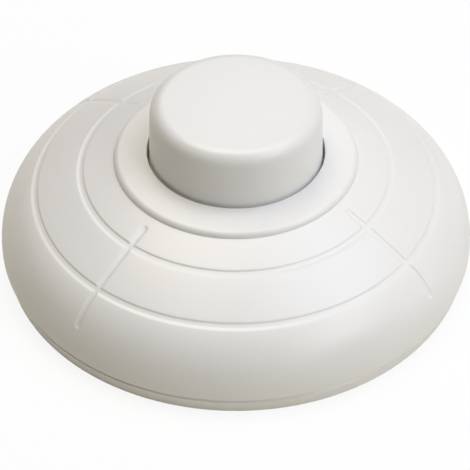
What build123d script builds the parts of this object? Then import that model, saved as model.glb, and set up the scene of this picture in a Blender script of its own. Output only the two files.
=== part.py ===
from build123d import *

import os
from math import atan2, cos, hypot, radians, sin, sqrt, tan

# Round floor foot switch, in millimetres.
# Z is up, the origin is the centre of the base's underside and the front is -Y.

# Outside form of the upper cover
body_diameter = 66.0
rim_rise = 0.5
shoulder_radius = 9.2
dome_radius = 70.0
collar_foot_radius = 16.7
collar_foot_height = 15.95
collar_rise = 1.3
collar_fall = 0.5
collar_round = 0.75
cover_wall = 2.0
parting_chamfer = 0.25

# Grooves moulded into the dome
ring_groove_rim_gaps = (11.65, 5.2)
ring_groove_width = 0.95
ring_groove_floor_width = 0.55
ring_groove_depth = 0.15
radial_groove_angles = (43.0, 133.0, 222.5, 317.0)
radial_groove_width = 0.65
radial_groove_depth = 0.12
radial_groove_collar_gap = 1.4
radial_groove_rim_gap = 1.1

# Push button
button_radius = 11.8
button_stand = 8.15
button_draft = 2.0
button_edge_radius = 2.0
button_wall = 1.55
button_top_wall = 2.0
button_inner_bevel = 1.0
button_travel = 5.0
button_side_gap = 0.45
flange_width = 1.35
flange_thickness = 1.8
collar_depth = 3.0
flange_stop_gap = 0.05

# Guide tube under the collar and its two keys
guide_gap = 0.2
guide_wall = 1.2
guide_length = 7.4
key_width = 2.0
key_height = 0.9
key_gap = 0.2

# Base
floor_thickness = 2.0
base_band_height = 2.4
base_inset = 0.25
base_draft = 0.35
locating_ring_height = 2.2
locating_ring_wall = 1.2
locating_ring_gap = 0.15
locating_ring_bevel = 0.3
screw_pad_height = 1.5

# Cord inlets and cord clamp
cord_diameter = 6.0
cord_pillar_gap = 0.3
inlet_gap = 0.2
clamp_rim_gap = 13.0
clamp_width = 4.0
clamp_thickness = 1.8
clamp_squeeze = 1.0
clamp_pillar_radius = 1.9
clamp_rib = 0.5
clamp_end_radius = 1.5
clamp_screw_length = 6.0

# Screws
cover_screw_link_gap = 1.8
cover_screw_angles = (30.0, 150.0, 270.0)
cover_screw_radius = 1.5
cover_screw_length = 8.0
cover_screw_head_radius = 2.7
cover_screw_head_height = 1.5
cover_boss_wall = 1.5
cross_recess_reach = 1.6
screw_sink = 0.5
screw_gap = 0.2
screw_bite = 0.05
small_screw_radius = 1.25
small_screw_head_radius = 2.1
small_screw_head_height = 1.1
screw_slot_width = 0.6
screw_slot_depth = 0.6

# Return spring and its seat
spring_wire = 0.8
spring_open_turns = 2.5
spring_closed_turns = 1.0
spring_ground = 0.2
spring_seat_height = 1.2
spring_side_gap = 0.35
seat_lip_height = 1.0
seat_lip_wall = 0.8

# Ratchet wheel, turned one tooth at each press
tooth_count = 8
tooth_overlap = 0.75
tooth_depth = 1.8
wheel_width = 2.8
wheel_floor_gap = 0.5
wheel_hub_radius = 3.2
wheel_hub_length = 1.6
star_square = 4.6
axle_radius = 1.0
axle_gap = 0.03

# Pawl strip on the button and detent leaf on the base
pawl_thickness = 0.5
pawl_width = 2.0
pawl_gap = 0.12
pawl_side_gap = 0.25
pawl_free_length = 5.0
pawl_post_width = 3.4
pawl_bend = 0.4
pawl_end_gap = 1.0
detent_grip = 1.5
rivet_radius = 0.7
rivet_head_radius = 0.95
rivet_head_height = 0.4
rivet_length = 2.2

# Bearing cheeks for the axle
cheek_thickness = 1.6
cheek_width = 6.0
cheek_side_gap = 0.3
cheek_rise = 2.4
cheek_bevel = 0.8
axle_throat = 1.8
axle_bevel = 0.2

# Contact star, blades and terminals
star_radius = 5.6
star_valley_radius = 4.0
star_lobe_width = 3.2
star_thickness = 3.6
contact_gap = 0.05
contact_tip_radius = 1.0
contact_tip_height = 0.5
blade_thickness = 0.5
blade_width = 3.0
blade_rise = 2.6
terminal_rim_gap = 12.5
terminal_length = 6.0
terminal_width = 5.0
terminal_height = 5.5
wire_hole_radius = 1.3
wire_hole_height = 2.2
link_guide_gap = 1.15
link_length = 14.0
brass_edge = 0.3
fence_height = 2.5
fence_wall = 1.2
strip_gap = 0.4

# Sizes that follow from the ones above
body_radius = body_diameter / 2
collar_top_height = collar_foot_height + collar_rise
collar_edge_radius = collar_foot_radius - collar_round
collar_edge_height = collar_top_height - collar_fall
ring_groove_radii = [body_radius - gap for gap in ring_groove_rim_gaps]
radial_groove_start = collar_foot_radius + radial_groove_collar_gap
radial_groove_end = body_radius - radial_groove_rim_gap
ledge_height = collar_top_height - collar_depth
button_top_height = collar_top_height + button_stand
button_ceiling = button_top_height - button_top_wall
button_inner_radius = button_radius - button_wall
flange_radius = button_radius + flange_width
flange_top = ledge_height - flange_stop_gap
flange_bottom = flange_top - flange_thickness
button_widest = button_radius + collar_depth * tan(radians(button_draft))
button_hole_radius = button_widest + button_side_gap / 2
guide_inner_radius = flange_radius + guide_gap
guide_outer_radius = guide_inner_radius + guide_wall
guide_bottom = ledge_height - guide_length
key_inner_radius = guide_inner_radius - key_height

floor_top = floor_thickness
spring_seat_top = floor_top + spring_seat_height
spring_radius = key_inner_radius - spring_side_gap - spring_wire / 2
seat_inner_radius = spring_radius - spring_wire
seat_outer_radius = spring_radius + spring_wire

tooth_pitch = 360 / tooth_count
star_lobes = tooth_count // 2
half_pitch = radians(tooth_pitch / 2)
pawl_reach = button_travel / (2 * tan(half_pitch))
tooth_tip_radius = pawl_reach + tooth_overlap
tooth_root_radius = tooth_tip_radius - tooth_depth
wheel_axis_height = floor_top + wheel_floor_gap + tooth_tip_radius
pawl_tip_radius = pawl_thickness / 2
pawl_tip_rise = button_travel / 2 + pawl_tip_radius / cos(half_pitch) + pawl_gap
pawl_inner_face = tooth_tip_radius + pawl_side_gap
pawl_outer_face = pawl_inner_face + pawl_thickness
pawl_tip_height = wheel_axis_height + pawl_tip_rise
post_bottom = pawl_tip_height + pawl_free_length

star_front = wheel_hub_length / 2
wheel_back = -star_front
wheel_front = wheel_back - wheel_width
wheel_middle = (wheel_front + wheel_back) / 2
star_back = star_front + star_thickness
star_middle = (star_front + star_back) / 2
cheek_reach = max(star_back, -wheel_front) + cheek_side_gap
axle_length = 2 * (cheek_reach + cheek_thickness)

terminal_distance = body_radius - terminal_rim_gap
link_distance = guide_outer_radius + link_guide_gap + terminal_width / 2
clamp_distance = body_radius - clamp_rim_gap
cord_spacing = cord_diameter + 2 * (cord_pillar_gap + clamp_pillar_radius)
cover_boss_radius = cover_screw_radius + cover_boss_wall
link_front = link_distance + terminal_width / 2
cover_screw_circle = link_front + cover_screw_link_gap + cover_boss_radius

blade_face = star_radius + contact_gap + contact_tip_height
blade_top = wheel_axis_height + blade_rise
strip_top = floor_top + blade_thickness
terminal_top = strip_top + terminal_height
link_top = floor_top + terminal_height
clamp_bottom = floor_top + cord_diameter - clamp_squeeze
clamp_top = clamp_bottom + clamp_thickness
pad_top = floor_top + screw_pad_height


# Arcs of the cover's section, in the radius and height plane.
# The dome's arc passes the collar's foot and runs tangent into the shoulder's arc.
shoulder_x = body_radius - shoulder_radius
shoulder_z = base_band_height + rim_rise
foot_to_shoulder = hypot(shoulder_x - collar_foot_radius, shoulder_z - collar_foot_height)
along_x = (shoulder_x - collar_foot_radius) / foot_to_shoulder
along_z = (shoulder_z - collar_foot_height) / foot_to_shoulder
along = (dome_radius**2 - (dome_radius - shoulder_radius) ** 2 + foot_to_shoulder**2) / (
    2 * foot_to_shoulder
)
across = sqrt(dome_radius**2 - along**2)
dome_x = collar_foot_radius + along * along_x + across * along_z
dome_z = collar_foot_height + along * along_z - across * along_x
blend_angle = atan2(shoulder_z - dome_z, shoulder_x - dome_x)


def dome_point(angle, offset):
    """Point on the dome's arc moved outwards by offset, at an angle in radians."""
    reach = dome_radius + offset
    return dome_x + reach * cos(angle), dome_z + reach * sin(angle)


def shoulder_point(angle, offset):
    """Point on the shoulder's arc moved outwards by offset."""
    reach = shoulder_radius + offset
    return shoulder_x + reach * cos(angle), shoulder_z + reach * sin(angle)


def dome_angle(radius, offset=0.0):
    """Angle at which the dome's arc, moved by offset, passes a radius."""
    reach = dome_radius + offset
    height = sqrt(reach**2 - (radius - dome_x) ** 2)
    return atan2(height, radius - dome_x)


def dome_height(radius, offset=0.0):
    """Height of the dome or the shoulder, moved by offset, at a radius."""
    if radius < dome_point(blend_angle, offset)[0]:
        return dome_point(dome_angle(radius, offset), offset)[1]
    reach = shoulder_radius + offset
    return shoulder_z + sqrt(reach**2 - (radius - shoulder_x) ** 2)


def dome_curves(start_radius, end_angle, offset):
    """Dome and shoulder arcs from a radius down to an angle on the shoulder."""
    start = dome_angle(start_radius, offset)
    dome_middle = (start + blend_angle) / 2
    shoulder_middle = (blend_angle + end_angle) / 2
    blend = dome_point(blend_angle, offset)
    dome = ThreePointArc(dome_point(start, offset), dome_point(dome_middle, offset), blend)
    shoulder = ThreePointArc(
        blend, shoulder_point(shoulder_middle, offset), shoulder_point(end_angle, offset)
    )
    return [dome, shoulder]


def turned(curves):
    """Solid of revolution about Z from a closed section in the XZ plane."""
    return revolve(Plane.XZ * make_face(curves), Axis.Z)


def ring(inner, outer, bottom, top):
    """Upright tube between two radii and two heights."""
    height = top - bottom
    tube = Cylinder(outer, height) - Cylinder(inner, height)
    return Pos(0, 0, (bottom + top) / 2) * tube


def post(radius, bottom, top, x=0.0, y=0.0):
    """Upright cylinder between two heights."""
    return Pos(x, y, (bottom + top) / 2) * Cylinder(radius, top - bottom)


def block(x_range, y_range, z_range):
    """Box between two limits on each axis."""
    sizes = [high - low for low, high in (x_range, y_range, z_range)]
    middle = [(low + high) / 2 for low, high in (x_range, y_range, z_range)]
    return Pos(*middle) * Box(*sizes)


def cross_extrude(face, front, back):
    """Extrude a face drawn in X and Z along Y, from front to back."""
    return Pos(0, front, 0) * extrude(Plane.XZ * face, -(back - front))


def cover_screw_places():
    """Centres of the three cover screws."""
    angles = [radians(angle) for angle in cover_screw_angles]
    return [(cover_screw_circle * cos(a), cover_screw_circle * sin(a)) for a in angles]


def clamp_screw_places():
    """Centres of the three clamp screws, either side of and between the cords."""
    return [(side * cord_spacing, clamp_distance) for side in (-1, 0, 1)]


def terminal_screw_places():
    """Centres of the terminal screws, and the top face each one enters."""
    link_reach = link_length / 2 - terminal_width / 2
    return [
        (-terminal_distance, star_middle, terminal_top),
        (terminal_distance, star_middle, terminal_top),
        (-link_reach, -link_distance, link_top),
        (link_reach, -link_distance, link_top),
    ]


def dome_shell():
    """Dome, shoulder and side wall as one turned shell."""
    bottom = base_band_height
    wall_angle = atan2(bottom - shoulder_z, shoulder_radius)
    lip_angle = atan2(bottom + parting_chamfer - shoulder_z, shoulder_radius)
    outer = dome_curves(collar_foot_radius, lip_angle, 0)
    inner = dome_curves(collar_foot_radius, 0.0, -cover_wall)
    inner_foot = (inner[1] @ 1).X
    bottom_edge = shoulder_point(wall_angle, 0)[0] - parting_chamfer
    section = [
        *outer,
        Line(outer[1] @ 1, (bottom_edge, bottom)),
        Line((bottom_edge, bottom), (inner_foot, bottom)),
        Line((inner_foot, bottom), inner[1] @ 1),
        *inner,
        Line(inner[0] @ 0, outer[0] @ 0),
    ]
    return turned(section)


def collar():
    """Raised ring round the button: its top falls outwards to a round edge over a stop ledge."""
    foot = (collar_foot_radius, collar_foot_height)
    edge = (collar_edge_radius, collar_edge_height)
    crest = (button_hole_radius, collar_top_height)
    slope = (edge[0] - crest[0], edge[1] - crest[1])
    section = [
        Line((button_hole_radius, ledge_height), crest),
        Line(crest, edge),
        TangentArc(edge, foot, tangent=slope),
        Line(foot, (collar_foot_radius, ledge_height)),
        Line((collar_foot_radius, ledge_height), (button_hole_radius, ledge_height)),
    ]
    return turned(section)


def ring_groove(radius):
    """Turned cutter for one ring groove, square to the dome."""
    angle = dome_angle(radius)
    half_mouth = ring_groove_width / 2 / dome_radius
    half_floor = ring_groove_floor_width / 2 / dome_radius
    mouth = 2 * ring_groove_depth
    slope = (half_mouth - half_floor) / ring_groove_depth
    half_top = half_mouth + slope * mouth
    corners = [
        dome_point(angle + half_top, mouth),
        dome_point(angle + half_floor, -ring_groove_depth),
        dome_point(angle - half_floor, -ring_groove_depth),
        dome_point(angle - half_top, mouth),
    ]
    return turned(Polyline(*corners, close=True))


def radial_groove(angle):
    """Cutter for one radial groove that follows the dome over the shoulder."""
    end_angle = atan2(
        sqrt(shoulder_radius**2 - (radial_groove_end - shoulder_x) ** 2),
        radial_groove_end - shoulder_x,
    )
    floor = dome_curves(radial_groove_start, end_angle, -radial_groove_depth)
    mouth = dome_curves(radial_groove_start, end_angle, radial_groove_depth)
    section = make_face(
        [
            *floor,
            Line(floor[1] @ 1, mouth[1] @ 1),
            *mouth,
            Line(mouth[0] @ 0, floor[0] @ 0),
        ]
    )
    half = radial_groove_width / 2
    return Rot(0, 0, angle) * cross_extrude(section, -half, half)


def cord_inlet(x):
    """Cutter for an arched cord inlet through the back of the cover's wall."""
    radius = cord_diameter / 2 + inlet_gap
    axis_height = floor_top + cord_diameter / 2
    run = (clamp_distance + clamp_width, body_radius + cover_wall)
    legs = block((x - radius, x + radius), run, (0, axis_height))
    arch = Pos(x, sum(run) / 2, axis_height) * Rot(90, 0, 0) * Cylinder(radius, run[1] - run[0])
    return legs + arch


def upper_cover():
    """Domed cover with its grooves, guide tube, keys, bosses and cord inlets."""
    body = dome_shell() + collar()
    for radius in ring_groove_radii:
        body -= ring_groove(radius)
    for angle in radial_groove_angles:
        body -= radial_groove(angle)
    body += ring(guide_inner_radius, guide_outer_radius, guide_bottom, ledge_height)
    key_root = guide_inner_radius + guide_wall / 2
    half_key = key_width / 2
    for low, high in ((key_inner_radius, key_root), (-key_root, -key_inner_radius)):
        body += block((-half_key, half_key), (low, high), (guide_bottom, ledge_height))
    boss_top = dome_height(cover_screw_circle, -cover_wall / 2)
    for x, y in cover_screw_places():
        boss = post(cover_boss_radius, pad_top, boss_top + cover_wall, x, y)
        body += boss & inside_of_dome(-cover_wall / 2)
    pilot_top = screw_seat_height() + cover_screw_length + screw_gap
    for x, y in cover_screw_places():
        body -= post(cover_screw_radius + screw_bite, pad_top, pilot_top, x, y)
    for side in (-1, 1):
        body -= cord_inlet(side * cord_spacing / 2)
    return body


def inside_of_dome(offset):
    """Solid under the dome and shoulder, moved by offset, used to trim the bosses."""
    curves = dome_curves(guide_outer_radius, 0.0, offset)
    top = curves[0] @ 0
    foot = curves[1] @ 1
    section = [
        *curves,
        Line(foot, (foot.X, 0)),
        Line((foot.X, 0), (guide_outer_radius, 0)),
        Line((guide_outer_radius, 0), top),
    ]
    return turned(section)


def screw_seat_height():
    """Height of the face under the cover screws' heads."""
    return screw_sink + cover_screw_head_height


def base_disc():
    """Floor, drafted outer band and locating ring as one turned solid."""
    outer = body_radius - base_inset
    locating_outer = body_radius - cover_wall - locating_ring_gap
    locating_inner = locating_outer - locating_ring_wall
    ring_top = base_band_height + locating_ring_height
    corners = [
        (0, 0),
        (outer - base_draft - parting_chamfer, 0),
        (outer - base_draft, parting_chamfer),
        (outer, base_band_height - parting_chamfer),
        (outer - parting_chamfer, base_band_height),
        (locating_outer, base_band_height),
        (locating_outer, ring_top - locating_ring_bevel),
        (locating_outer - locating_ring_bevel, ring_top),
        (locating_inner, ring_top),
        (locating_inner, floor_top),
        (0, floor_top),
    ]
    return turned(Polyline(*corners, close=True))


def bearing_cheek(front, back):
    """Upright cheek with an open-topped seat that the axle snaps into."""
    top = wheel_axis_height + cheek_rise
    half = cheek_width / 2
    seat_radius = axle_radius + axle_gap
    throat = axle_throat / 2
    cheek = block((-half, half), (front, back), (floor_top, top))
    seat = Pos(0, (front + back) / 2, wheel_axis_height) * Rot(90, 0, 0)
    cheek -= seat * Cylinder(seat_radius, back - front)
    cheek -= block((-throat, throat), (front, back), (wheel_axis_height, top))
    return chamfer(cheek.edges().filter_by(Axis.Y).group_by(Axis.Z)[-1], cheek_bevel)


def base_plate():
    """Moulded base with everything that carries the inner pieces."""
    body = base_disc()
    inlet_reach = cord_spacing / 2 + cord_diameter / 2 + inlet_gap + locating_ring_wall
    body -= block(
        (-inlet_reach, inlet_reach),
        (clamp_distance, body_radius - cover_wall - locating_ring_gap),
        (base_band_height, base_band_height + locating_ring_height),
    )
    body += ring(seat_inner_radius, seat_outer_radius, floor_top, spring_seat_top)
    lip_outer = spring_radius - spring_wire / 2 - spring_side_gap
    body += ring(lip_outer - seat_lip_wall, lip_outer, floor_top, spring_seat_top + seat_lip_height)
    half_strip = blade_width / 2 + strip_gap
    body -= block(
        (-guide_outer_radius, guide_outer_radius),
        (star_middle - half_strip, star_middle + half_strip),
        (floor_top, spring_seat_top + seat_lip_height),
    )
    for front, back in (
        (cheek_reach, cheek_reach + cheek_thickness),
        (-cheek_reach - cheek_thickness, -cheek_reach),
    ):
        body += bearing_cheek(front, back)
    body += detent_holder()
    for x, y in clamp_screw_places():
        body += post(clamp_pillar_radius, floor_top, clamp_bottom, x, y)
        body -= post(small_screw_radius + screw_bite, floor_top, clamp_bottom, x, y)
    for x, y in cover_screw_places():
        body += post(cover_boss_radius, floor_top, pad_top, x, y)
        body -= post(cover_screw_radius + screw_gap, 0, pad_top, x, y)
        body -= post(cover_screw_head_radius + screw_gap, 0, screw_seat_height(), x, y)
    body += link_fences() + terminal_fences()
    return body


def fence(x_range, y_range):
    """Low wall on the floor beside a brass piece."""
    return block(x_range, y_range, (floor_top, floor_top + fence_height))


def link_fences():
    """Two low end walls that keep the neutral link in place."""
    end = link_length / 2
    low = -link_distance - terminal_width / 2
    high = -link_distance + terminal_width / 2
    left = fence((-end - fence_wall, -end), (low, high))
    right = fence((end, end + fence_wall), (low, high))
    return left + right


def terminal_fences():
    """Low walls outside the two live terminals."""
    inner = terminal_distance + terminal_width / 2
    outer = inner + fence_wall
    span = (star_middle - terminal_length / 2, star_middle + terminal_length / 2)
    return fence((inner, outer), span) + fence((-outer, -inner), span)


def detent_holder():
    """Slotted block on the floor that grips the detent leaf's foot."""
    top = floor_top + detent_grip
    outer = -pawl_outer_face - cheek_thickness
    inner = -pawl_inner_face + cheek_thickness
    half = pawl_post_width / 2
    span = (wheel_middle - half, wheel_middle + half)
    holder = block((outer, inner), span, (floor_top, top))
    half_leaf = pawl_width / 2
    slot = block(
        (-pawl_outer_face, -pawl_inner_face),
        (wheel_middle - half_leaf, wheel_middle + half_leaf),
        (floor_top, top),
    )
    return holder - slot


def push_button():
    """Hollow button with drafted side, rounded top edge, flange, notches and post."""
    draft = tan(radians(button_draft))
    edge = button_edge_radius
    edge_turn = radians(90 - button_draft)
    top = button_top_height
    side_at_top = button_radius - button_stand * draft
    edge_centre_x = side_at_top - edge * tan(edge_turn / 2)
    edge_centre = (edge_centre_x, top - edge)
    wall_end = (
        edge_centre[0] + edge * cos(radians(button_draft)),
        edge_centre[1] + edge * sin(radians(button_draft)),
    )
    arc_middle = (
        edge_centre[0] + edge * cos(radians(45 + button_draft / 2)),
        edge_centre[1] + edge * sin(radians(45 + button_draft / 2)),
    )
    foot = (button_radius + (collar_top_height - flange_top) * draft, flange_top)
    bevel_foot = (button_inner_radius, button_ceiling - button_inner_bevel)
    bevel_top = (button_inner_radius - button_inner_bevel, button_ceiling)
    section = [
        Line((0, top), (edge_centre_x, top)),
        ThreePointArc((edge_centre_x, top), arc_middle, wall_end),
        Line(wall_end, foot),
        Line(foot, (flange_radius, flange_top)),
        Line((flange_radius, flange_top), (flange_radius, flange_bottom)),
        Line((flange_radius, flange_bottom), (button_inner_radius, flange_bottom)),
        Line((button_inner_radius, flange_bottom), bevel_foot),
        Line(bevel_foot, bevel_top),
        Line(bevel_top, (0, button_ceiling)),
        Line((0, button_ceiling), (0, top)),
    ]
    body = turned(section)
    half_notch = key_width / 2 + key_gap
    notch_root = key_inner_radius - key_gap
    for low, high in ((notch_root, guide_inner_radius), (-guide_inner_radius, -notch_root)):
        body -= block((-half_notch, half_notch), (low, high), (flange_bottom, flange_top))
    half_post = pawl_post_width / 2
    pawl_post = block(
        (pawl_outer_face, button_radius),
        (wheel_middle - half_post, wheel_middle + half_post),
        (post_bottom, button_ceiling),
    )
    body += pawl_post & post(button_inner_radius + button_wall / 2, post_bottom, button_ceiling)
    rivet_place = Pos(pawl_outer_face + rivet_length / 2, wheel_middle, rivet_height())
    return body - rivet_place * Rot(0, 90, 0) * Cylinder(rivet_radius, rivet_length)


def rivet_height():
    """Height of the rivet, half way up the post."""
    return (post_bottom + button_ceiling) / 2


def hooked_strip(length):
    """Strip with a hooked end, its tip at the origin of X and Z before placing."""
    reach = pawl_outer_face - pawl_reach
    t = pawl_thickness
    outline = make_face(
        [
            Line((0, -t / 2), (reach - pawl_bend, -t / 2)),
            JernArc((reach - pawl_bend, -t / 2), (1, 0), pawl_bend, 90),
            Line((reach, pawl_bend - t / 2), (reach, length)),
            Line((reach, length), (reach - t, length)),
            Line((reach - t, length), (reach - t, t / 2)),
            Line((reach - t, t / 2), (0, t / 2)),
            ThreePointArc((0, t / 2), (-t / 2, 0), (0, -t / 2)),
        ]
    )
    half = pawl_width / 2
    return cross_extrude(outline, wheel_middle - half, wheel_middle + half)


def drive_pawl():
    """Hooked spring steel strip on the button's post."""
    length = button_ceiling - pawl_end_gap - pawl_tip_height
    strip = Pos(pawl_reach, 0, pawl_tip_height) * hooked_strip(length)
    hole = Pos(pawl_outer_face, wheel_middle, rivet_height()) * Rot(0, 90, 0)
    return strip - hole * Cylinder(rivet_radius, 4 * pawl_thickness)


def pawl_rivet():
    """Rivet through the strip into the post."""
    shank_start = pawl_inner_face
    shank_end = pawl_outer_face + rivet_length
    turn = Rot(0, 90, 0)
    shank = Pos((shank_start + shank_end) / 2, wheel_middle, rivet_height()) * turn
    head = Pos(shank_start - rivet_head_height / 2, wheel_middle, rivet_height()) * turn
    rivet = shank * Cylinder(rivet_radius, shank_end - shank_start)
    return rivet + head * Cylinder(rivet_head_radius, rivet_head_height)


def detent_spring():
    """Hooked leaf on the base, the pawl's form turned half round about the axle."""
    length = wheel_axis_height - pawl_tip_rise - floor_top
    about_axle = Pos(0, 0, wheel_axis_height) * Rot(0, 180, 0)
    return about_axle * Pos(pawl_reach, 0, pawl_tip_rise) * hooked_strip(length)


def ratchet_wheel():
    """Eight-toothed wheel with a round shoulder and a square hub for the star."""
    edges = []
    for index in range(tooth_count):
        face_angle = tooth_pitch / 2 + index * tooth_pitch
        next_face = face_angle - tooth_pitch
        tip = polar(tooth_tip_radius, face_angle)
        root = polar(tooth_root_radius, face_angle)
        fall = polar(tooth_root_radius, next_face)
        edges += [Line(root, tip), Line(tip, fall)]
    wheel = cross_extrude(make_face(edges), wheel_front, wheel_back)
    hub = Rot(90, 0, 0) * Cylinder(wheel_hub_radius, star_front - wheel_back)
    half = star_square / 2
    square = block((-half, half), (star_front, star_back), (-half, half))
    bore = Rot(90, 0, 0) * Cylinder(axle_radius, axle_length)
    return Pos(0, 0, wheel_axis_height) * (wheel + hub + square - bore)


def polar(radius, angle):
    """Point at a radius and an angle in degrees."""
    return radius * cos(radians(angle)), radius * sin(radians(angle))


def contact_star():
    """Four-lobed brass contact, its lobes on the diagonals while switched off."""
    core = Cylinder(star_valley_radius, star_thickness)
    for index in range(star_lobes):
        place = Rot(0, 0, (index + 0.5) * 360 / star_lobes) * Pos(star_radius / 2, 0, 0)
        arm = place * Box(star_radius, star_lobe_width, star_thickness)
        core += arm & Cylinder(star_radius, star_thickness)
    core -= Box(star_square, star_square, star_thickness)
    return Pos(0, star_middle, wheel_axis_height) * Rot(90, 0, 0) * core


def wheel_axle():
    """Steel axle pressed through the wheel, with chamfered ends."""
    axle = Cylinder(axle_radius, axle_length)
    axle = chamfer(axle.edges(), axle_bevel)
    return Pos(0, 0, wheel_axis_height) * Rot(90, 0, 0) * axle


def spring_half_turn(start_height, rise, side):
    """Half a turn of wire, a tilted arc whose ends run level into the next ones."""
    start = Vector(side * spring_radius, 0, start_height)
    middle = Vector(0, 0, start_height + rise / 2)
    tilted_axis = Axis(middle, (side * rise / 2, 0, spring_radius))
    section = Plane(start, z_dir=(0, 1, 0)) * Circle(spring_wire / 2)
    return revolve(section, tilted_axis, 180)


def return_spring():
    """Coil spring from the base's seat to the button's flange, its closed ends ground flat."""
    closed_rise = spring_wire / 2
    closed_halves = round(2 * spring_closed_turns)
    open_halves = round(2 * spring_open_turns)
    first = spring_seat_top + spring_wire / 2 - spring_ground
    last = flange_bottom - spring_wire / 2 + spring_ground
    open_rise = (last - first - 2 * closed_halves * closed_rise) / open_halves
    rises = [closed_rise] * closed_halves + [open_rise] * open_halves + [closed_rise] * closed_halves
    coil = None
    height = first
    for index, rise in enumerate(rises):
        half = spring_half_turn(height, rise, 1 if index % 2 == 0 else -1)
        coil = half if coil is None else coil + half
        height += rise
    return coil & ring(seat_inner_radius, seat_outer_radius, spring_seat_top, flange_bottom)


def contact_blade(side):
    """Upright blade, floor strip and terminal pad folded from one brass sheet."""
    half = blade_width / 2
    inner = blade_face
    outer = blade_face + blade_thickness
    span = (star_middle - half, star_middle + half)
    blade = block((inner, outer), span, (floor_top, blade_top))
    strip = block((inner, terminal_distance), span, (floor_top, strip_top))
    half_pad = terminal_width / 2
    half_length = terminal_length / 2
    pad = block(
        (terminal_distance - half_pad, terminal_distance + half_pad),
        (star_middle - half_length, star_middle + half_length),
        (floor_top, strip_top),
    )
    body = blade + strip + pad
    return body if side > 0 else mirror(body, about=Plane.YZ)


def contact_tip(side):
    """Silver button riveted to a blade, facing the star."""
    x = side * (blade_face - contact_tip_height / 2)
    place = Pos(x, star_middle, wheel_axis_height) * Rot(0, 90, 0)
    return place * Cylinder(contact_tip_radius, contact_tip_height)


def wire_terminal(x, y, bottom, width, length):
    """Plain brass block with bevelled edges."""
    top = bottom + terminal_height
    body = block((x - width / 2, x + width / 2), (y - length / 2, y + length / 2), (bottom, top))
    return chamfer(body.edges(), brass_edge)


def terminal(side):
    """Live terminal on the pad of its strip."""
    x = side * terminal_distance
    body = wire_terminal(x, star_middle, strip_top, terminal_width, terminal_length)
    hole = Pos(x, star_middle, strip_top + wire_hole_height) * Rot(90, 0, 0)
    body -= hole * Cylinder(wire_hole_radius, terminal_length)
    return body - post(small_screw_radius, strip_top + wire_hole_height, terminal_top, x, star_middle)


def neutral_link():
    """Brass bar that joins the unswitched cores, one wire hole at each end."""
    body = wire_terminal(0, -link_distance, floor_top, link_length, terminal_width)
    for x, y, top in terminal_screw_places()[2:]:
        hole = Pos(x, y, floor_top + wire_hole_height) * Rot(90, 0, 0)
        body -= hole * Cylinder(wire_hole_radius, terminal_width)
        body -= post(small_screw_radius, floor_top + wire_hole_height, top, x, y)
    return body


def slotted_screw(x, y, seat, length):
    """Cheese-head screw with a driver slot, its head resting on a seat height."""
    head_top = seat + small_screw_head_height
    screw = post(small_screw_radius, seat - length, seat, x, y)
    screw += post(small_screw_head_radius, seat, head_top, x, y)
    half = screw_slot_width / 2
    reach = small_screw_head_radius
    depth = (head_top - screw_slot_depth, head_top)
    slot = block((x - reach, x + reach), (y - half, y + half), depth)
    return screw - slot


def terminal_screws():
    """Clamping screws, each ending at the wire hole's axis."""
    length = terminal_height - wire_hole_height
    return Compound([slotted_screw(x, y, top, length) for x, y, top in terminal_screw_places()])


def cord_clamp():
    """Bar across both cords, with two gripping ribs and three screw holes."""
    end = cord_spacing + clamp_pillar_radius
    half = clamp_width / 2
    span = (clamp_distance - half, clamp_distance + half)
    body = block((-end, end), span, (clamp_bottom, clamp_top))
    body = fillet(body.edges().filter_by(Axis.Z), clamp_end_radius)
    rib_half = cord_diameter / 2 - inlet_gap
    for side in (-1, 1):
        x = side * cord_spacing / 2
        for y in (clamp_distance - half / 2, clamp_distance + half / 2):
            rib = Pos(x, y, clamp_bottom) * Rot(0, 90, 0) * Cylinder(clamp_rib, 2 * rib_half)
            body += rib
    for x, y in clamp_screw_places():
        body -= post(small_screw_radius + screw_gap, clamp_bottom, clamp_top, x, y)
    return body


def cord_clamp_screws():
    """Three screws through the clamp bar into the base's pillars."""
    places = clamp_screw_places()
    return Compound([slotted_screw(x, y, clamp_top, clamp_screw_length) for x, y in places])


def cover_screws():
    """Three pan-head screws from below through the base into the cover's bosses."""
    seat = screw_seat_height()
    screws = []
    for x, y in cover_screw_places():
        screw = post(cover_screw_radius, seat, seat + cover_screw_length, x, y)
        screw += post(cover_screw_head_radius, screw_sink, seat, x, y)
        half = screw_slot_width / 2
        arm = cross_recess_reach
        recess = (screw_sink, screw_sink + screw_slot_depth)
        screw -= block((x - arm, x + arm), (y - half, y + half), recess)
        screw -= block((x - half, x + half), (y - arm, y + arm), recess)
        screws.append(screw)
    return Compound(screws)


nodes = {
    "upper_cover": upper_cover(),
    "base_plate": base_plate(),
    "push_button": push_button(),
    "return_spring": return_spring(),
    "ratchet_wheel": ratchet_wheel(),
    "contact_star": contact_star(),
    "wheel_axle": wheel_axle(),
    "drive_pawl": drive_pawl(),
    "pawl_rivet": pawl_rivet(),
    "detent_spring": detent_spring(),
    "live_in_contact": contact_blade(-1),
    "live_out_contact": contact_blade(1),
    "live_in_contact_tip": contact_tip(-1),
    "live_out_contact_tip": contact_tip(1),
    "live_in_terminal": terminal(-1),
    "live_out_terminal": terminal(1),
    "neutral_link": neutral_link(),
    "terminal_screws": terminal_screws(),
    "cord_clamp": cord_clamp(),
    "cord_clamp_screws": cord_clamp_screws(),
    "cover_screws": cover_screws(),
}

os.makedirs("parts", exist_ok=True)
for name, solid in nodes.items():
    export_step(solid, f"parts/{name}.step")
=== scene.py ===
from math import acos, asin, atan2, cos, hypot, pi, radians, sin, sqrt, tan

import bmesh
import bpy
from mathutils import Matrix, Vector


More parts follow.
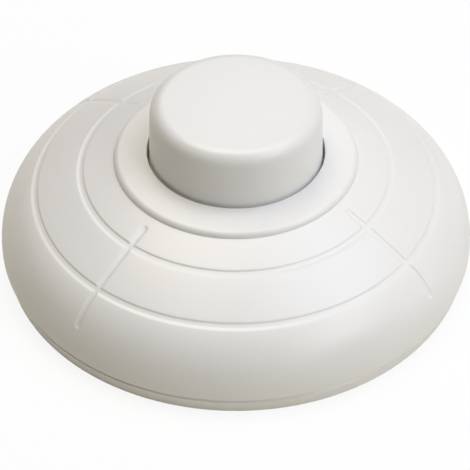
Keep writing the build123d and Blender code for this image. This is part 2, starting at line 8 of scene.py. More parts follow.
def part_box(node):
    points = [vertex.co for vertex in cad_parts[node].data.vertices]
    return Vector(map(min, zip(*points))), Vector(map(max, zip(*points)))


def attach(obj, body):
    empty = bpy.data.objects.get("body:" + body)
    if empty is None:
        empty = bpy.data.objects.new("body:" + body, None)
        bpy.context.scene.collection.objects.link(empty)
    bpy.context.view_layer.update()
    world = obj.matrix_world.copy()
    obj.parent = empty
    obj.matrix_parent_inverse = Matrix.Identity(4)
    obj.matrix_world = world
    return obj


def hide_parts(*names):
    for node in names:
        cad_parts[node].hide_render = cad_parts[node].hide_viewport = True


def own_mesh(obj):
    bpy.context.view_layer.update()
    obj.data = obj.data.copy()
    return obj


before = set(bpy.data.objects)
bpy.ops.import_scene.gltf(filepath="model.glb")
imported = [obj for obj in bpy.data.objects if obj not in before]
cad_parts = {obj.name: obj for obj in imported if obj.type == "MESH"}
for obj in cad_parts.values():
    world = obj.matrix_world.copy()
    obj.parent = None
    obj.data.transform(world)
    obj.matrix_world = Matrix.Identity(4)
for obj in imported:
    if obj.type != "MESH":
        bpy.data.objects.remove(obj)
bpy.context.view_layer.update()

# Round floor foot switch. Sizes are in millimetres until a mesh is made from them.
# Radii are from the button's axis and heights from the floor.
MM = 0.001

# Upper cover
body_radius = 33.0
shoulder_radius = 9.2
shoulder_height = 2.9
dome_radius = 70.0
cover_wall = 2.0
cover_bottom = 2.4
parting_chamfer = 0.45

# Collar round the button's hole
collar_foot_radius = 16.7
collar_foot_height = 15.95
collar_foot_round = 0.12
collar_edge_radius = 15.95
collar_edge_height = 16.75
collar_top_height = 17.25
button_hole_radius = 12.16
button_hole_round = 0.06
ledge_height = 14.25

# Guide tube under the collar, with the keys that keep the button from turning
guide_inner_radius = 13.35
guide_outer_radius = 14.55
guide_bottom = 6.85
key_inner_radius = 12.45
key_width = 2.0

# Grooves of the dome: each wall falls from half the mouth's width to half the floor's
ring_groove_radii = (21.35, 27.8)
ring_groove_depth = 0.13
ring_groove_inner_halves = (0.25, 0.55)
ring_groove_outer_halves = (0.1, 0.7)
radial_groove_angles = (43.0, 133.0, 222.5, 317.0)
radial_groove_depth = 0.135
radial_groove_gentle_halves = (0.05, 0.6)
radial_groove_steep_halves = (0.28, 0.52)
radial_groove_start = 18.1
radial_groove_end = 31.9

# Screw bosses and cord inlets of the cover
screw_circle = 25.5
screw_angles = (30.0, 150.0, 270.0)
boss_radius = 3.0
boss_bottom = 3.5
pilot_radius = 1.55
pilot_top = 10.2
inlet_spacing = 10.4
inlet_radius = 3.2
inlet_axis_height = 5.0
inlet_start = 24.0

# Push button, its stop flange and the post that carries the pawl
button_radius = 11.8
button_draft = 2.0
button_top_height = 25.4
button_edge_radius = 2.0
button_ceiling = 23.4
button_inner_radius = 10.25
button_inner_round = 1.0
flange_radius = 13.15
flange_top = 14.2
flange_bottom = 12.4
flange_edge_round = 0.15
notch_width = 2.4
notch_inner_radius = 12.25
post_width = 3.4
pawl_thickness = 0.5
pawl_free_length = 5.0

# Return spring
spring_radius = 11.7
spring_wire = 0.8
spring_bottom = 3.2
spring_closed_turns = 1.0
spring_open_turns = 2.5

# Cover screws, heads down in the base
screw_radius = 1.5
screw_head_radius = 2.7
screw_head_bottom = 0.5
screw_head_top = 2.0
screw_head_round = 0.7
screw_neck = 1.5
screw_length = 8.0
screw_tip_radius = 0.9
recess_reach = 1.6
recess_width = 0.6
recess_depth = 0.6
thread_pitch = 1.0
thread_depth = 0.22

# Fineness of the meshes: steps round a circle, an arc or a turn, and spacings along a section
turn_steps = 160
sector_steps = 36
post_steps = 48
arch_steps = 40
collar_steps = 12
inner_steps = 24
corner_steps = 5
wire_steps = 14
coil_steps = 72
row_spacing = 0.5
closest_row = 0.3
wall_stops = (0.0, 0.1, 0.22, 0.36, 0.5, 0.64, 0.78, 0.9, 1.0)
sharp_angle = 38.0
axis_margin = 1e-6

# Allowances: the dome's straight lead after the collar's foot, the gap from there to the first row,
# and how far a cutter reaches past the face that it cuts
foot_lead = 1.0
foot_row_gap = 0.125
cut_past = 1.0

# Camera, fitted to the photograph's view
view_azimuth = -7.0
view_elevation = 43.3
view_distance = 250.0
view_aim = (-0.13, 0.0, 1.08)
view_nearest = 1.0
lens_length = 134.0
sensor_width = 36.0

# Studio: the lamps, the floor and the shares of plain white that show of floor and surround
lamp_distance = 700.0
lamp_aim = (0.0, 0.0, 10.0)
floor_radius = 3000.0
floor_steps = 96
floor_drop = 0.02
seen_white = 0.88
floor_reflected_white = 0.35
surround_reflected_white = 0.1
surround_glow = 0.02

# Section of the dome: one arc from the collar's foot, tangent to the shoulder's arc
shoulder_x = body_radius - shoulder_radius
foot_span = hypot(shoulder_x - collar_foot_radius, shoulder_height - collar_foot_height)
along_x = (shoulder_x - collar_foot_radius) / foot_span
along_z = (shoulder_height - collar_foot_height) / foot_span
along = (dome_radius**2 - (dome_radius - shoulder_radius) ** 2 + foot_span**2) / (2 * foot_span)
across = sqrt(dome_radius**2 - along**2)
dome_x = collar_foot_radius + along * along_x + across * along_z
dome_z = collar_foot_height + along * along_z - across * along_x
blend_angle = atan2(shoulder_height - dome_z, shoulder_x - dome_x)


def dome_angle(radius, offset=0.0):
    """Angle on the dome's arc, moved outwards by offset, at a radius."""
    return acos((radius - dome_x) / (dome_radius + offset))


def dome_point(angle, offset=0.0):
    """Point of the dome or the shoulder at a normal's angle, moved outwards by offset."""
    if angle > blend_angle:
        reach = dome_radius + offset
        return dome_x + reach * cos(angle), dome_z + reach * sin(angle)
    reach = shoulder_radius + offset
    return shoulder_x + reach * cos(angle), shoulder_height + reach * sin(angle)


def dome_height(radius, offset=0.0):
    """Height of the dome or the shoulder, moved outwards by offset, at a radius."""
    if radius < dome_point(blend_angle, offset)[0]:
        return dome_point(dome_angle(radius, offset), offset)[1]
    reach = shoulder_radius + offset
    return shoulder_height + sqrt(reach**2 - (radius - shoulder_x) ** 2)


def smooth(share):
    """Smooth step from 0 to 1."""
    share = min(max(share, 0.0), 1.0)
    return share * share * (3 - 2 * share)


def groove_share(distance, halves):
    """Share of a groove's depth at a distance from its middle line."""
    floor, mouth = halves
    return smooth((mouth - abs(distance)) / (mouth - floor))


def ring_share(distance):
    """Share of a ring groove's depth: its wall is steeper on the collar's side than on the rim's."""
    return groove_share(distance, ring_groove_inner_halves if distance < 0 else ring_groove_outer_halves)


def radial_share(offset, beyond):
    """Share of a radial groove's depth beside its middle line or beyond its end.

    The wall turns from gentle on one side to steep on the other, round the groove's end.
    """
    distance = hypot(offset, beyond)
    side = (1 + offset / distance) / 2 if distance else 0.5
    pairs = zip(radial_groove_gentle_halves, radial_groove_steep_halves)
    return groove_share(distance, [gentle + side * (steep - gentle) for gentle, steep in pairs])


def wall_distances(halves):
    """Distances from a groove's middle line that draw its wall finely."""
    floor, mouth = halves
    return [floor + stop * (mouth - floor) for stop in wall_stops]


def rounded(corners):
    """Outline of (radius, height, corner radius) points with each corner turned into an arc."""
    outline = []
    for index, (x, z, radius) in enumerate(corners):
        corner = Vector((x, z))
        if radius == 0:
            outline.append((x, z))
            continue
        before = (Vector(corners[index - 1][:2]) - corner).normalized()
        after = (Vector(corners[(index + 1) % len(corners)][:2]) - corner).normalized()
        half = before.angle(after) / 2
        middle = corner + (before + after).normalized() * radius / sin(half)
        start = corner + before * radius / tan(half) - middle
        end = corner + after * radius / tan(half) - middle
        for step in range(corner_steps + 1):
            point = middle + start.slerp(end, step / corner_steps).normalized() * radius
            outline.append((point.x, point.y))
    return outline


def soften(piece):
    """Shade a piece smooth, with hard edges where its faces turn sharply."""
    piece.data.polygons.foreach_set("use_smooth", [True] * len(piece.data.polygons))
    piece.data.set_sharp_from_angle(angle=radians(sharp_angle))


def mesh_object(name, mesh):
    """Object from a bmesh in millimetres, smooth but for its hard edges."""
    bmesh.ops.recalc_face_normals(mesh, faces=mesh.faces[:])
    bmesh.ops.scale(mesh, vec=(MM, MM, MM), verts=mesh.verts[:])
    data = bpy.data.meshes.new(name)
    mesh.to_mesh(data)
    mesh.free()
    piece = bpy.data.objects.new(name, data)
    bpy.context.collection.objects.link(piece)
    soften(piece)
    return piece


def combine(piece, tool, operation):
    """Join a tool piece to a piece or cut it away, and remove the tool."""
    modifier = piece.modifiers.new(operation, "BOOLEAN")
    modifier.operation = operation
    modifier.solver = "EXACT"
    modifier.object = tool
    view = bpy.context.evaluated_depsgraph_get()
    joined = bpy.data.meshes.new_from_object(piece.evaluated_get(view))
    piece.modifiers.remove(modifier)
    spare = piece.data
    piece.data = joined
    joined.name = piece.name
    bpy.data.meshes.remove(spare)
    bpy.data.objects.remove(tool)
    soften(piece)


def add_band(mesh, ring, next_ring):
    """Band of faces between two closed rings of points, of triangles where a ring is one point."""
    for step in range(len(ring)):
        turn = (step + 1) % len(ring)
        corners = [ring[step], ring[turn], next_ring[turn], next_ring[step]]
        mesh.faces.new(list(dict.fromkeys(corners)))


def add_turned(mesh, outline, steps=turn_steps, middle=(0.0, 0.0)):
    """Solid of revolution about an upright axis; an outline that ends on the axis closes there."""
    angles = [2 * pi * step / steps for step in range(steps)]
    rings = []
    for radius, height in outline:
        if radius < axis_margin:
            rings.append([mesh.verts.new((*middle, height))] * steps)
            continue
        places = [(middle[0] + radius * cos(a), middle[1] + radius * sin(a), height) for a in angles]
        rings.append([mesh.verts.new(place) for place in places])
    on_axis = outline[0][0] < axis_margin and outline[-1][0] < axis_margin
    for index in range(len(rings) - 1 if on_axis else len(rings)):
        add_band(mesh, rings[index], rings[(index + 1) % len(rings)])


def add_block(mesh, x_range, y_range, z_range):
    """Box between two limits on each axis."""
    ranges = (x_range, y_range, z_range)
    sizes = [high - low for low, high in ranges]
    middle = [(low + high) / 2 for low, high in ranges]
    place = Matrix.Translation(middle) @ Matrix.Diagonal((*sizes, 1.0))
    bmesh.ops.create_cube(mesh, size=1.0, matrix=place)


def dome_rows():
    """Rows down the dome and shoulder, close together at the grooves' walls and ends.

    A row is a radius, a height, the outward direction there, the share of a ring groove's
    depth, and the distance beyond the radial grooves' ends.
    """
    top = dome_angle(collar_foot_radius)
    lip = asin((cover_bottom + parting_chamfer - shoulder_height) / shoulder_radius)
    dome_run = dome_radius * (top - blend_angle)
    run = dome_run + shoulder_radius * (blend_angle - lip)

    def run_at(angle):
        """Distance down the section at a normal's angle."""
        if angle > blend_angle:
            return dome_radius * (top - angle)
        return dome_run + shoulder_radius * (blend_angle - angle)

    def angle_at(distance):
        """Normal's angle at a distance down the section."""
        if distance < dome_run:
            return top - distance / dome_radius
        return blend_angle - (distance - dome_run) / shoulder_radius

    rings = [run_at(dome_angle(radius)) for radius in ring_groove_radii]
    end_round = sum(radial_groove_steep_halves) / 2
    first = run_at(dome_angle(radial_groove_start)) + end_round
    last = run_at(acos((radial_groove_end - shoulder_x) / shoulder_radius)) - end_round
    fine = [*rings, first, last]
    for centre in rings:
        fine += [centre - distance for distance in wall_distances(ring_groove_inner_halves)]
        fine += [centre + distance for distance in wall_distances(ring_groove_outer_halves)]
    for distance in wall_distances(radial_groove_steep_halves):
        fine += [first - distance, last + distance]
    count = int(run / row_spacing)
    even = [run * step / count for step in range(1, count + 1)]
    stops = fine + [stop for stop in even if min(abs(stop - other) for other in fine) > closest_row]
    rows = []
    for stop in sorted(stops):
        angle = angle_at(stop)
        ring = max(ring_share(stop - centre) for centre in rings)
        beyond = max(first - stop, stop - last, 0.0)
        rows.append((*dome_point(angle), cos(angle), sin(angle), ring, beyond))
    return rows


def plain_rows(outline):
    """Rows of an outline that no groove touches: it counts as far beyond the radial grooves' ends."""
    return [(radius, height, 0.0, 0.0, 0.0, body_radius) for radius, height in outline]


def collar_outline():
    """Section from the button's hole over the collar and its round edge to the dome."""
    fall = atan2(collar_edge_height - collar_top_height, collar_edge_radius - button_hole_radius)
    chord_x = collar_foot_radius - collar_edge_radius
    chord_z = collar_foot_height - collar_edge_height
    turn = atan2(chord_z, chord_x) - fall
    arc_radius = hypot(chord_x, chord_z) / 2 / sin(-turn)
    edge = []
    for step in range(collar_steps):
        angle = fall + 2 * turn * step / collar_steps
        x = collar_edge_radius + arc_radius * (sin(fall) - sin(angle))
        z = collar_edge_height + arc_radius * (cos(angle) - cos(fall))
        edge.append((x, z, 0.0))
    after_foot = dome_point(dome_angle(collar_foot_radius + foot_lead))
    outline = rounded(
        [
            (button_hole_radius, ledge_height, 0.0),
            (button_hole_radius, collar_top_height, button_hole_round),
            *edge,
            (collar_foot_radius, collar_foot_height, collar_foot_round),
            (*after_foot, 0.0),
        ]
    )
    return outline[:-1]


def inside_outline():
    """Section from the rim's bottom edge up inside the dome and round the guide tube."""
    bottom_edge = dome_point(asin((cover_bottom - shoulder_height) / shoulder_radius))[0] - parting_chamfer
    inner_reach = dome_radius - cover_wall
    inner_end = dome_x + sqrt(inner_reach**2 - (ledge_height - dome_z) ** 2)
    inner_top = dome_angle(inner_end, -cover_wall)
    dome = [dome_point(inner_top * step / inner_steps, -cover_wall) for step in range(inner_steps + 1)]
    return [
        (bottom_edge, cover_bottom),
        (body_radius - cover_wall, cover_bottom),
        *dome,
        (guide_outer_radius, ledge_height),
        (guide_outer_radius, guide_bottom),
        (guide_inner_radius, guide_bottom),
        (guide_inner_radius, ledge_height),
    ]


def cover_rows():
    """Closed section of the cover, from the button's hole out, down and back inside."""
    collar = collar_outline()
    dome = [row for row in dome_rows() if row[0] > collar[-1][0] + foot_row_gap]
    return plain_rows(collar) + dome + plain_rows(inside_outline())


def cover_columns(radius):
    """Angles of the mesh's columns at a radius, and each one's distance from a radial groove."""
    gentle = [-distance for distance in reversed(wall_distances(radial_groove_gentle_halves))]
    steep = wall_distances(radial_groove_steep_halves)
    margin = 2 * steep[-1]
    offsets = [-margin, *gentle, 0.0, *steep, margin]
    columns = []
    following = (*radial_groove_angles[1:], radial_groove_angles[0] + 360.0)
    for degrees, next_degrees in zip(radial_groove_angles, following):
        columns += [(radians(degrees) + asin(offset / radius), offset) for offset in offsets]
        start = radians(degrees) + asin(margin / radius)
        span = radians(next_degrees) - asin(margin / radius) - start
        columns += [(start + span * step / sector_steps, margin) for step in range(1, sector_steps)]
    return columns


def cover_shell():
    """Turned shell of the cover with its ring and radial grooves."""
    mesh = bmesh.new()
    rings = []
    for radius, height, out_x, out_z, ring, beyond in cover_rows():
        verts = []
        for angle, offset in cover_columns(radius):
            radial = radial_share(offset, beyond)
            depth = max(ring_groove_depth * ring, radial_groove_depth * radial)
            reach = radius - out_x * depth
            verts.append(mesh.verts.new((reach * cos(angle), reach * sin(angle), height - out_z * depth)))
        rings.append(verts)
    for index, verts in enumerate(rings):
        add_band(mesh, verts, rings[(index + 1) % len(rings)])
    return mesh_object("upper_cover_moulding", mesh)


def screw_places():
    """Centres of the three cover screws."""
    return [(screw_circle * cos(radians(a)), screw_circle * sin(radians(a))) for a in screw_angles]


def add_boss(mesh, x, y):
    """Round screw boss, its top sunk halfway into the dome's wall."""
    sunk = -cover_wall / 2
    bottom = []
    top = []
    for step in range(post_steps):
        angle = 2 * pi * step / post_steps
        px = x + boss_radius * cos(angle)
        py = y + boss_radius * sin(angle)
        bottom.append(mesh.verts.new((px, py, boss_bottom)))
        top.append(mesh.verts.new((px, py, dome_height(hypot(px, py), sunk))))
    crown = mesh.verts.new((x, y, dome_height(hypot(x, y), sunk)))
    mesh.faces.new(bottom)
    add_band(mesh, bottom, top)
    add_band(mesh, top, [crown] * post_steps)


def cover_fittings():
    """Screw bosses and guide keys inside the cover, sunk into what carries them."""
    mesh = bmesh.new()
    for x, y in screw_places():
        add_boss(mesh, x, y)
    key_root = (guide_inner_radius + guide_outer_radius) / 2
    key_top = ledge_height + cover_wall / 4
    for low, high in ((key_inner_radius, key_root), (-key_root, -key_inner_radius)):
        add_block(mesh, (-key_width / 2, key_width / 2), (low, high), (guide_bottom, key_top))
    return mesh_object("cover_fittings", mesh)


def add_inlet(mesh, x):
    """Cutter of one cord inlet: an arch on straight legs, from inside the cover out past its rim."""
    angles = [pi * step / arch_steps for step in range(arch_steps + 1)]
    arch = [(x + inlet_radius * cos(a), inlet_axis_height + inlet_radius * sin(a)) for a in angles]
    outline = [(x + inlet_radius, 0.0), *arch, (x - inlet_radius, 0.0)]
    inner = [mesh.verts.new((px, inlet_start, pz)) for px, pz in outline]
    outer = [mesh.verts.new((px, body_radius + cover_wall, pz)) for px, pz in outline]
    mesh.faces.new(inner)
    mesh.faces.new(outer)
    add_band(mesh, inner, outer)


def cover_openings():
    """Cutters for the screws' pilot holes and the two cord inlets."""
    mesh = bmesh.new()
    low = boss_bottom - cut_past
    pilot = [(0.0, low), (pilot_radius, low), (pilot_radius, pilot_top), (0.0, pilot_top)]
    for place in screw_places():
        add_turned(mesh, pilot, post_steps, place)
    for side in (-1, 1):
        add_inlet(mesh, side * inlet_spacing / 2)
    return mesh_object("cover_openings", mesh)


def make_upper_cover():
    """Domed cover with soft-edged grooves, standing for its solid."""
    cover = cover_shell()
    combine(cover, cover_fittings(), "UNION")
    combine(cover, cover_openings(), "DIFFERENCE")
    return cover


def button_shell():
    """Turned shell of the button: a drafted side, a rounded top edge and the stop flange."""
    draft = tan(radians(button_draft))
    side_at_top = button_radius - (button_top_height - collar_top_height) * draft
    side_at_flange = button_radius + (collar_top_height - flange_top) * draft
    outline = rounded(
        [
            (0.0, button_top_height, 0.0),
            (side_at_top, button_top_height, button_edge_radius),
            (side_at_flange, flange_top, flange_edge_round),
            (flange_radius, flange_top, flange_edge_round),
            (flange_radius, flange_bottom, flange_edge_round),
            (button_inner_radius, flange_bottom, flange_edge_round),
            (button_inner_radius, button_ceiling, button_inner_round),
            (0.0, button_ceiling, 0.0),
        ]
    )
    mesh = bmesh.new()
    add_turned(mesh, outline)
    return mesh_object("push_button_moulding", mesh)


def pawl_post():
    """Post inside the button that carries the pawl, sunk into the button's wall and top."""
    pawl_low, pawl_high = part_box("drive_pawl")
    half = post_width / 2
    middle = (pawl_low[1] + pawl_high[1]) / 2 / MM
    bottom = pawl_low[2] / MM + pawl_thickness / 2 + pawl_free_length
    wall_middle = (button_radius + button_inner_radius) / 2
    mesh = bmesh.new()
    add_block(
        mesh,
        (pawl_high[0] / MM, sqrt(wall_middle**2 - (middle - half) ** 2)),
        (middle - half, middle + half),
        (bottom, (button_ceiling + button_top_height) / 2),
    )
    return mesh_object("pawl_post", mesh)


def flange_notches():
    """Cutter for the two notches of the flange that slide on the guide tube's keys."""
    half = notch_width / 2
    outer = flange_radius + cut_past
    mesh = bmesh.new()
    for low, high in ((notch_inner_radius, outer), (-outer, -notch_inner_radius)):
        add_block(mesh, (-half, half), (low, high), (flange_bottom - cut_past, flange_top))
    return mesh_object("flange_notches", mesh)


def make_push_button():
    """Hollow button with its flange and the pawl's post, standing for its solid."""
    button = button_shell()
    combine(button, pawl_post(), "UNION")
    combine(button, flange_notches(), "DIFFERENCE")
    return button


def make_return_spring():
    """Round wire coil with closed ends, between the base's seat and the button's flange."""
    turns = 2 * spring_closed_turns + spring_open_turns
    low = spring_bottom + spring_wire / 2
    high = flange_bottom - spring_wire / 2
    closed_rise = spring_wire * spring_closed_turns
    open_rise = high - low - 2 * closed_rise

    def height_at(turn):
        """Height of the wire's middle after a number of turns."""
        if turn < spring_closed_turns:
            return low + spring_wire * turn
        if turn > turns - spring_closed_turns:
            return high - spring_wire * (turns - turn)
        share = (turn - spring_closed_turns) / spring_open_turns
        return low + closed_rise + open_rise * share

    mesh = bmesh.new()
    rings = []
    for stop in range(int(turns * coil_steps) + 1):
        turn = stop / coil_steps
        angle = 2 * pi * turn
        ring = []
        for step in range(wire_steps):
            around = 2 * pi * step / wire_steps
            reach = spring_radius + spring_wire / 2 * cos(around)
            height = height_at(turn) + spring_wire / 2 * sin(around)
            ring.append(mesh.verts.new((reach * cos(angle), reach * sin(angle), height)))
        rings.append(ring)
    for ring, next_ring in zip(rings, rings[1:]):
        add_band(mesh, ring, next_ring)
    mesh.faces.new(rings[0])
    mesh.faces.new(rings[-1])
    return mesh_object("return_spring_coil", mesh)


def screw_outline():
    """Half section of a pan-head screw with a cut thread, its head down."""
    start = screw_head_top + screw_neck
    end = screw_head_top + screw_length
    root = screw_radius - thread_depth
    thread = []
    for index in range(int((end - start) / thread_pitch)):
        height = start + index * thread_pitch
        thread += [(root, height, 0.0), (screw_radius, height + thread_pitch / 2, 0.0)]
    return rounded(
        [
            (0.0, screw_head_bottom, 0.0),
            (screw_head_radius, screw_head_bottom, screw_head_round),
            (screw_head_radius, screw_head_top, 0.0),
            (screw_radius, screw_head_top, 0.0),
            *thread,
            (screw_tip_radius, end, 0.0),
            (0.0, end, 0.0),
        ]
    )


def recess_slots(x_half, y_half):
    """Cutter for one slot of the cross recess in each screw's head."""
    depth = (screw_head_bottom - cut_past, screw_head_bottom + recess_depth)
    mesh = bmesh.new()
    for x, y in screw_places():
        add_block(mesh, (x - x_half, x + x_half), (y - y_half, y + y_half), depth)
    return mesh_object("recess_slots", mesh)


def make_cover_screws():
    """Three pan-head screws with a cross recess and a cut thread."""
    outline = screw_outline()
    mesh = bmesh.new()
    for place in screw_places():
        add_turned(mesh, outline, post_steps, place)
    screws = mesh_object("cover_screw_set", mesh)
    half = recess_width / 2
    for x_half, y_half in ((recess_reach, half), (half, recess_reach)):
        combine(screws, recess_slots(x_half, y_half), "DIFFERENCE")
    return screws


def colour(code):
    """Linear colour from an sRGB hex code."""
    channels = [int(code[start : start + 2], 16) / 255 for start in (0, 2, 4)]
    linear = [c / 12.92 if c <= 0.04045 else ((c + 0.055) / 1.055) ** 2.4 for c in channels]
    return (*linear, 1.0)


def add(tree, kind, settings=None, values=None, links=None):
    """Node with its settings, its input values and its links to other nodes' outputs."""
    node = tree.nodes.new(kind)
    for name, value in (settings or {}).items():
        setattr(node, name, value)
    for name, value in (values or {}).items():
        node.inputs[name].default_value = value
    for name, output in (links or {}).items():
        tree.links.new(output, node.inputs[name])
    return node


def new_material(name):
    """Material with an empty node tree."""
    material = bpy.data.materials.new(name)
    material.use_nodes = True
    material.node_tree.nodes.clear()
    return material, material.node_tree


def pattern_scale(size):
    """Texture scale that gives features of a size in millimetres, on pieces in metres."""
    return 1.0 / (size * MM)


def moulded_abs(name, tones, roughness):
    """Injection-moulded white ABS that keeps the faint grain of its mould.

    The eye sees a soft wide highlight, a slight cloudiness of tone where the melt flowed,
    and a very fine grain that breaks up reflections. The real grain is a few hundredths of
    a millimetre. It is drawn about ten times as coarse, so that it shows.
    """
    cloud_size = 16.0
    gloss_patch_size = 5.0
    grain_size = 0.35
    grain_height = 0.004
    material, tree = new_material(name)
    place = add(tree, "ShaderNodeTexCoord").outputs["Object"]
    clouds = add(
        tree,
        "ShaderNodeTexNoise",
        values={"Scale": pattern_scale(cloud_size), "Detail": 2.0},
        links={"Vector": place},
    )
    tone = add(
        tree,
        "ShaderNodeMix",
        settings={"data_type": "RGBA"},
        values={"A": colour(tones[0]), "B": colour(tones[1])},
        links={"Factor": clouds.outputs["Fac"]},
    )
    patches = add(
        tree,
        "ShaderNodeTexNoise",
        values={"Scale": pattern_scale(gloss_patch_size), "Detail": 3.0},
        links={"Vector": place},
    )
    gloss = add(
        tree,
        "ShaderNodeMapRange",
        values={"To Min": roughness[0], "To Max": roughness[1]},
        links={"Value": patches.outputs["Fac"]},
    )
    grain = add(
        tree,
        "ShaderNodeTexNoise",
        values={"Scale": pattern_scale(grain_size), "Detail": 2.0},
        links={"Vector": place},
    )
    bump = add(
        tree,
        "ShaderNodeBump",
        values={"Strength": 0.5, "Distance": grain_height * MM},
        links={"Height": grain.outputs["Fac"]},
    )
    surface = add(
        tree,
        "ShaderNodeBsdfPrincipled",
        values={"IOR": 1.53},
        links={
            "Base Color": tone.outputs["Result"],
            "Roughness": gloss.outputs["Result"],
            "Normal": bump.outputs["Normal"],
        },
    )
    add(tree, "ShaderNodeOutputMaterial", links={"Surface": surface.outputs[0]})
    return material


def moulded_nylon():
    """Natural nylon from a plain mould.

    The eye sees a milky, matt cream with a faint cloudiness.
    """
    cloud_size = 3.0
    material, tree = new_material("moulded_natural_nylon")
    place = add(tree, "ShaderNodeTexCoord").outputs["Object"]
    clouds = add(
        tree,
        "ShaderNodeTexNoise",
        values={"Scale": pattern_scale(cloud_size), "Detail": 3.0},
        links={"Vector": place},
    )
    tone = add(
        tree,
        "ShaderNodeMix",
        settings={"data_type": "RGBA"},
        values={"A": colour("E6E1D2"), "B": colour("D8D2C0")},
        links={"Factor": clouds.outputs["Fac"]},
    )
    surface = add(
        tree,
        "ShaderNodeBsdfPrincipled",
        values={"IOR": 1.53, "Roughness": 0.5},
        links={"Base Color": tone.outputs["Result"]},
    )
    add(tree, "ShaderNodeOutputMaterial", links={"Surface": surface.outputs[0]})
    return material


def worked_metal(name, tones, roughness, mark_size, stretch=(1.0, 1.0, 1.0)):
    """Metal that keeps the marks of its making, as an even mottle or stretched into lines.

    The eye sees a coloured reflection, streaked or mottled. The real marks are a few
    hundredths of a millimetre. They are drawn about ten times as coarse, so that they show.
    """
    material, tree = new_material(name)
    place = add(tree, "ShaderNodeTexCoord").outputs["Object"]
    drawn = add(tree, "ShaderNodeMapping", values={"Scale": stretch}, links={"Vector": place})
    marks = add(
        tree,
        "ShaderNodeTexNoise",
        values={"Scale": pattern_scale(mark_size), "Detail": 4.0},
        links={"Vector": drawn.outputs["Vector"]},
    )
    tone = add(
        tree,
        "ShaderNodeMix",
        settings={"data_type": "RGBA"},
        values={"A": colour(tones[0]), "B": colour(tones[1])},
        links={"Factor": marks.outputs["Fac"]},
    )
    gloss = add(
        tree,
        "ShaderNodeMapRange",
        values={"To Min": roughness[0], "To Max": roughness[1]},
        links={"Value": marks.outputs["Fac"]},
    )
    surface = add(
        tree,
        "ShaderNodeBsdfPrincipled",
        values={"Metallic": 1.0},
        links={"Base Color": tone.outputs["Result"], "Roughness": gloss.outputs["Result"]},
    )
    add(tree, "ShaderNodeOutputMaterial", links={"Surface": surface.outputs[0]})
    return material


def background_share(tree, reflected_white):
    """Share of plain white that the camera, clear pieces and reflections see of the background."""
    path = add(tree, "ShaderNodeLightPath")
    seen = add(
        tree,
        "ShaderNodeMath",
        settings={"operation": "MAXIMUM"},
        links={0: path.outputs["Is Camera Ray"], 1: path.outputs["Is Transmission Ray"]},
    )
    seen_share = add(
        tree,
        "ShaderNodeMath",
        settings={"operation": "MULTIPLY"},
        values={1: seen_white},
        links={0: seen.outputs[0]},
    )
    share = add(
        tree,
        "ShaderNodeMath",
        settings={"operation": "MULTIPLY_ADD"},
        values={1: reflected_white},
        links={0: path.outputs["Is Glossy Ray"], 2: seen_share.outputs[0]},
    )
    return share.outputs[0]


def studio_floor():
    """Pale matt floor, white to the camera and partly in reflections, with the switch's soft shadow.

    The light that it throws back up at the switch is a little warmer than the floor that shows.
    """
    material, tree = new_material("pale_studio_floor")
    path = add(tree, "ShaderNodeLightPath")
    tone = add(
        tree,
        "ShaderNodeMix",
        settings={"data_type": "RGBA"},
        values={"A": colour("E4DFD1"), "B": colour("FAFAFA")},
        links={"Factor": path.outputs["Is Camera Ray"]},
    )
    matt = add(tree, "ShaderNodeBsdfDiffuse", links={"Color": tone.outputs["Result"]})
    white = add(tree, "ShaderNodeEmission", values={"Color": colour("FFFFFF"), "Strength": 1.0})
    share = background_share(tree, floor_reflected_white)
    mixed = add(tree, "ShaderNodeMixShader", links={"Fac": share, 1: matt.outputs[0], 2: white.outputs[0]})
    add(tree, "ShaderNodeOutputMaterial", links={"Surface": mixed.outputs[0]})
    return material


def studio_surround():
    """Surround with a faint warm glow, white to the camera and partly in reflections."""
    world = bpy.data.worlds.new("studio_surround")
    world.use_nodes = True
    tree = world.node_tree
    tree.nodes.clear()
    glow = add(tree, "ShaderNodeBackground", values={"Color": colour("F4EED8"), "Strength": surround_glow})
    white = add(tree, "ShaderNodeBackground", values={"Color": colour("FFFFFF"), "Strength": 1.0})
    share = background_share(tree, surround_reflected_white)
    mixed = add(tree, "ShaderNodeMixShader", links={"Fac": share, 1: glow.outputs[0], 2: white.outputs[0]})
    add(tree, "ShaderNodeOutputWorld", links={"Surface": mixed.outputs[0]})
    bpy.context.scene.world = world


def make_floor():
    """Round floor, a hair below the base so that the two faces don't coincide."""
    mesh = bmesh.new()
    bmesh.ops.create_circle(mesh, cap_ends=True, segments=floor_steps, radius=floor_radius)
    bmesh.ops.translate(mesh, vec=(0.0, 0.0, -floor_drop), verts=mesh.verts[:])
    floor = mesh_object("studio_floor", mesh)
    floor.data.materials.append(studio_floor())


def sphere_place(azimuth, elevation, distance):
    """Point at a view angle, azimuth 0 in front, and a distance from the origin."""
    level = distance * cos(radians(elevation))
    turn = radians(azimuth)
    return level * sin(turn), -level * cos(turn), distance * sin(radians(elevation))


def put_and_aim(obj, place, target):
    """Put a lamp or the camera at a place, in millimetres, looking at a target."""
    obj.location = Vector(place) * MM
    obj.rotation_euler = (Vector(target) - Vector(place)).to_track_quat("-Z", "Y").to_euler()
    bpy.context.collection.objects.link(obj)


def softbox(name, azimuth, elevation, size, watts, tint):
    """Square soft lamp aimed at the switch."""
    data = bpy.data.lights.new(name, "AREA")
    data.size = size * MM
    data.energy = watts
    data.color = colour(tint)[:3]
    lamp = bpy.data.objects.new(name, data)
    put_and_aim(lamp, sphere_place(azimuth, elevation, lamp_distance), lamp_aim)


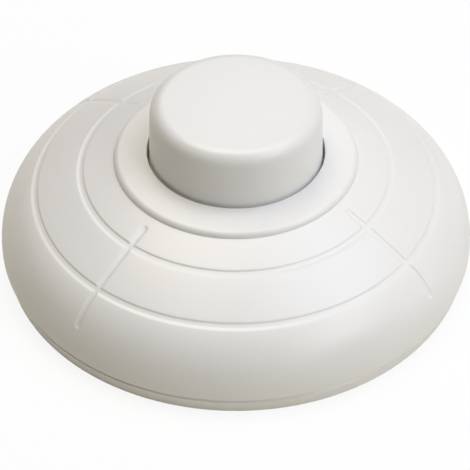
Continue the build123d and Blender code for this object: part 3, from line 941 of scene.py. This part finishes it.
def light_the_studio():
    """Cool softboxes above and at the right, a warm one at the back left, neutral ones and low fills."""
    softbox("overhead_softbox", azimuth=0.0, elevation=89.0, size=500.0, watts=0.36, tint="E4F1FF")
    softbox("high_right_softbox", azimuth=90.0, elevation=65.0, size=400.0, watts=1.85, tint="E5EBFF")
    softbox("right_front_softbox", azimuth=45.0, elevation=37.0, size=350.0, watts=1.25, tint="FDFDFC")
    softbox("back_softbox", azimuth=180.0, elevation=45.0, size=400.0, watts=0.62, tint="FDFCFF")
    softbox("back_left_softbox", azimuth=-140.0, elevation=75.0, size=400.0, watts=2.2, tint="FFF4DF")
    softbox("low_right_fill", azimuth=80.0, elevation=14.0, size=300.0, watts=0.4, tint="FFFCF8")
    softbox("low_front_fill", azimuth=20.0, elevation=16.0, size=300.0, watts=0.26, tint="FFFAEC")


def place_camera():
    """Camera at the photograph's angle."""
    data = bpy.data.cameras.new("photo_camera")
    data.lens = lens_length
    data.sensor_width = sensor_width
    data.clip_start = view_nearest * MM
    camera = bpy.data.objects.new("photo_camera", data)
    put_and_aim(camera, sphere_place(view_azimuth, view_elevation, view_distance), view_aim)
    bpy.context.scene.camera = camera


def dress(material, *names):
    """Give a finish to pieces that keep their solids' shapes."""
    for name in names:
        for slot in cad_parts[name].material_slots:
            slot.material = material


def dress_piece(piece, material, body, node):
    """Finish a modelled piece, let it ride on a body and stand for its solid."""
    piece.data.materials.clear()
    piece.data.materials.append(material)
    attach(piece, body)
    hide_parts(node)


# ABS from a spark-eroded mould: the cover, base and clamp look satin.
satin_abs = moulded_abs("moulded_satin_white_abs", tones=("EFEFEE", "EAEAE8"), roughness=(0.30, 0.36))
# ABS from a polished mould: the button's highlights are a little tighter.
polished_abs = moulded_abs("moulded_polished_white_abs", tones=("EEEEED", "E9E9E7"), roughness=(0.28, 0.34))
nylon = moulded_nylon()
# Rolled and stamped brass: warm yellow, with reflections streaked along the rolling.
brass = worked_metal(
    "stamped_brass",
    tones=("D6B060", "B8924A"),
    roughness=(0.25, 0.4),
    mark_size=0.4,
    stretch=(1.0, 6.0, 1.0),
)
# Drawn and hardened spring steel: mid grey, with fine level streaks.
spring_steel = worked_metal(
    "drawn_spring_steel",
    tones=("A9ABAD", "86888A"),
    roughness=(0.25, 0.4),
    mark_size=0.3,
    stretch=(1.0, 1.0, 5.0),
)
# Zinc-plated steel: pale bluish grey, softly mottled by the plating.
zinc_steel = worked_metal(
    "zinc_plated_steel", tones=("C4C7CA", "A6AAAE"), roughness=(0.28, 0.42), mark_size=0.5
)
# Pressed contact silver: nearly white, smooth and a little warm.
silver = worked_metal(
    "pressed_contact_silver", tones=("DAD8D2", "C2C0BA"), roughness=(0.2, 0.35), mark_size=0.4
)

dress(satin_abs, "base_plate", "cord_clamp")
dress(nylon, "ratchet_wheel")
dress(brass, "contact_star", "live_in_contact", "live_out_contact")
dress(brass, "live_in_terminal", "live_out_terminal", "neutral_link")
dress(spring_steel, "drive_pawl", "detent_spring")
dress(zinc_steel, "wheel_axle", "pawl_rivet", "terminal_screws", "cord_clamp_screws")
dress(silver, "live_in_contact_tip", "live_out_contact_tip")

dress_piece(make_upper_cover(), satin_abs, "housing", "upper_cover")
dress_piece(make_push_button(), polished_abs, "button", "push_button")
dress_piece(make_cover_screws(), zinc_steel, "housing", "cover_screws")

spring = make_return_spring()
dress_piece(spring, spring_steel, "housing", "return_spring")
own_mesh(spring)

make_floor()
light_the_studio()
studio_surround()
place_camera()
bpy.context.scene.view_settings.view_transform = "Standard"
